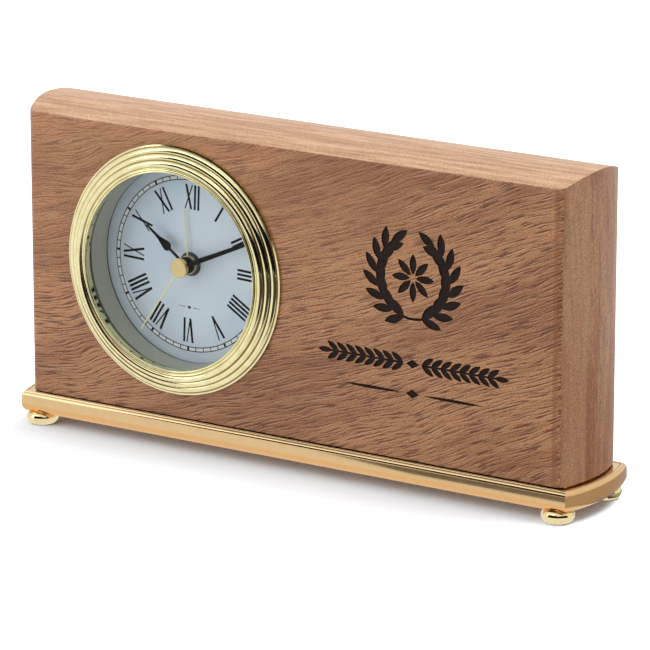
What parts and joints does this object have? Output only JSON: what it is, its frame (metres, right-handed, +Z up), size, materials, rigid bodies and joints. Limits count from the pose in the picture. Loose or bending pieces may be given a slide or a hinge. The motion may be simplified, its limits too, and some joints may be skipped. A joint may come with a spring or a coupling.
{
  "type": "wooden desk clock",
  "caption": "Shaped wood block with a brass-bezelled quartz alarm clock set in it, on a moulded brass plinth with button feet.",
  "frame": {"origin": "bottom centre of the whole clock, on the surface that its feet stand on", "axes": "the dial looks along -Y, +X is to the right as seen from the front, +Z is up"},
  "size_m": [0.2036, 0.0406, 0.1037],
  "materials": {
    "walnut": "satin oiled, brown with dark flecks",
    "plinth_brass": "lacquered, bright beads and softer flats",
    "foot_brass": "polished",
    "bezel_brass": "polished and lacquered",
    "clear_glass": "clear",
    "satin_steel": "satin",
    "dial_paint": "satin light blue-grey",
    "zinc_case": "plain",
    "rubber": "matte",
    "black_plastic": "fine matte grain",
    "smoke_plastic": "satin",
    "battery_jacket": "satin green wrap",
    "nickel_strip": "plated",
    "steel": "plated",
    "board_laminate": "green solder mask",
    "chip_resin": "gloss",
    "iron_plate": "plain",
    "nylon": "smooth",
    "copper_wire": "enamelled copper",
    "magnet_ferrite": "ground",
    "pipe_brass": "turned",
    "black_paint": "satin black",
    "gilt": "satin gilt"
  },
  "bodies": {
    "clock": {"wood_block": "walnut", "plinth": "plinth_brass", "plinth_screws": "steel", "foot_front_left": "foot_brass", "foot_front_right": "foot_brass", "foot_rear_left": "foot_brass", "foot_rear_right": "foot_brass", "bezel": "bezel_brass", "lens": "clear_glass", "reflector_ring": "satin_steel", "dial": "dial_paint", "drum": "zinc_case", "bore_gasket": "rubber", "rear_cover": "black_plastic", "cover_screws": "steel", "battery": "battery_jacket", "battery_contact_positive": "nickel_strip", "battery_contact_negative": "nickel_strip", "movement_front_plate": "smoke_plastic", "movement_case": "smoke_plastic", "case_screws": "steel", "rear_bearing_plate": "smoke_plastic", "circuit_board": "board_laminate", "driver_chip": "chip_resin", "quartz_crystal": "nickel_strip", "buzzer": "black_plastic", "stator_plate": "iron_plate", "coil_bobbin": "nylon", "coil_winding": "copper_wire", "alarm_contact_spring": "nickel_strip"},
    "seconds_arbor": {"seconds_gear": "nylon", "second_hand": "gilt", "second_hand_cap": "gilt"},
    "intermediate_arbor": {"intermediate_gear": "nylon"},
    "rotor_arbor": {"rotor": "nylon", "rotor_magnet": "magnet_ferrite"},
    "third_arbor": {"third_gear": "nylon"},
    "center_wheel": {"center_gear": "nylon", "clutch_washer": "nickel_strip"},
    "minute_pipe": {"minute_pinion": "pipe_brass", "minute_hand": "black_paint"},
    "motion_wheel": {"minute_wheel": "nylon"},
    "hour_pipe": {"hour_wheel": "nylon", "hour_hand": "black_paint"},
    "time_knob": {"time_setting_shaft": "steel", "time_setting_knob": "black_plastic"},
    "alarm_pipe": {"alarm_wheel": "pipe_brass", "alarm_hand": "gilt"},
    "alarm_knob": {"alarm_setting_shaft": "steel", "alarm_setting_knob": "black_plastic"},
    "switch_slider": {"alarm_switch": "black_plastic"},
    "battery_lid": {"battery_door": "black_plastic"}
  },
  "joints": [
    {"name": "second_hand_spin", "type": "hinge", "parent": "clock", "child": "seconds_arbor", "pos_m": [-0.0409, -0.01625, 0.0574], "axis": [0, 1, 0], "continuous": true},
    {"name": "intermediate_spin", "type": "hinge", "parent": "clock", "child": "intermediate_arbor", "pos_m": [-0.03384, -0.01625, 0.06391], "axis": [0, 1, 0], "continuous": true},
    {"name": "rotor_spin", "type": "hinge", "parent": "clock", "child": "rotor_arbor", "pos_m": [-0.02697, -0.01625, 0.06521], "axis": [0, 1, 0], "continuous": true},
    {"name": "third_spin", "type": "hinge", "parent": "clock", "child": "third_arbor", "pos_m": [-0.0462, -0.01625, 0.06492], "axis": [0, 1, 0], "continuous": true},
    {"name": "center_gear_spin", "type": "hinge", "parent": "clock", "child": "center_wheel", "pos_m": [-0.0409, -0.01625, 0.0574], "axis": [0, 1, 0], "continuous": true},
    {"name": "minute_hand_spin", "type": "hinge", "parent": "clock", "child": "minute_pipe", "pos_m": [-0.0409, -0.01625, 0.0574], "axis": [0, 1, 0], "continuous": true},
    {"name": "minute_wheel_spin", "type": "hinge", "parent": "clock", "child": "motion_wheel", "pos_m": [-0.05038, -0.01625, 0.05588], "axis": [0, 1, 0], "continuous": true},
    {"name": "hour_hand_spin", "type": "hinge", "parent": "clock", "child": "hour_pipe", "pos_m": [-0.0409, -0.01625, 0.0574], "axis": [0, 1, 0], "continuous": true},
    {"name": "time_knob_spin", "type": "hinge", "parent": "clock", "child": "time_knob", "pos_m": [-0.0599, -0.01625, 0.0571], "axis": [0, 1, 0], "continuous": true},
    {"name": "alarm_hand_spin", "type": "hinge", "parent": "clock", "child": "alarm_pipe", "pos_m": [-0.0409, -0.01625, 0.0574], "axis": [0, 1, 0], "continuous": true},
    {"name": "alarm_knob_spin", "type": "hinge", "parent": "clock", "child": "alarm_knob", "pos_m": [-0.03152, -0.01625, 0.05393], "axis": [0, 1, 0], "continuous": true},
    {"name": "alarm_switch_slide", "type": "slide", "parent": "clock", "child": "switch_slider", "axis": [-0.9992, 0, 0.0401], "range_m": [0, 0.003]},
    {"name": "battery_door_slide", "type": "slide", "parent": "clock", "child": "battery_lid", "axis": [0, 1, 0], "range_m": [0, 0.012]}
  ],
  "couplings": [
    {"joint": "intermediate_spin", "follows": "second_hand_spin", "ratio": -5},
    {"joint": "rotor_spin", "follows": "second_hand_spin", "ratio": 30},
    {"joint": "third_spin", "follows": "second_hand_spin", "ratio": -0.13333},
    {"joint": "center_gear_spin", "follows": "second_hand_spin", "ratio": 0.016667},
    {"joint": "minute_wheel_spin", "follows": "minute_hand_spin", "ratio": -0.33333},
    {"joint": "hour_hand_spin", "follows": "minute_hand_spin", "ratio": 0.083333},
    {"joint": "time_knob_spin", "follows": "minute_hand_spin", "ratio": 1},
    {"joint": "alarm_knob_spin", "follows": "alarm_hand_spin", "ratio": -4}
  ]
}
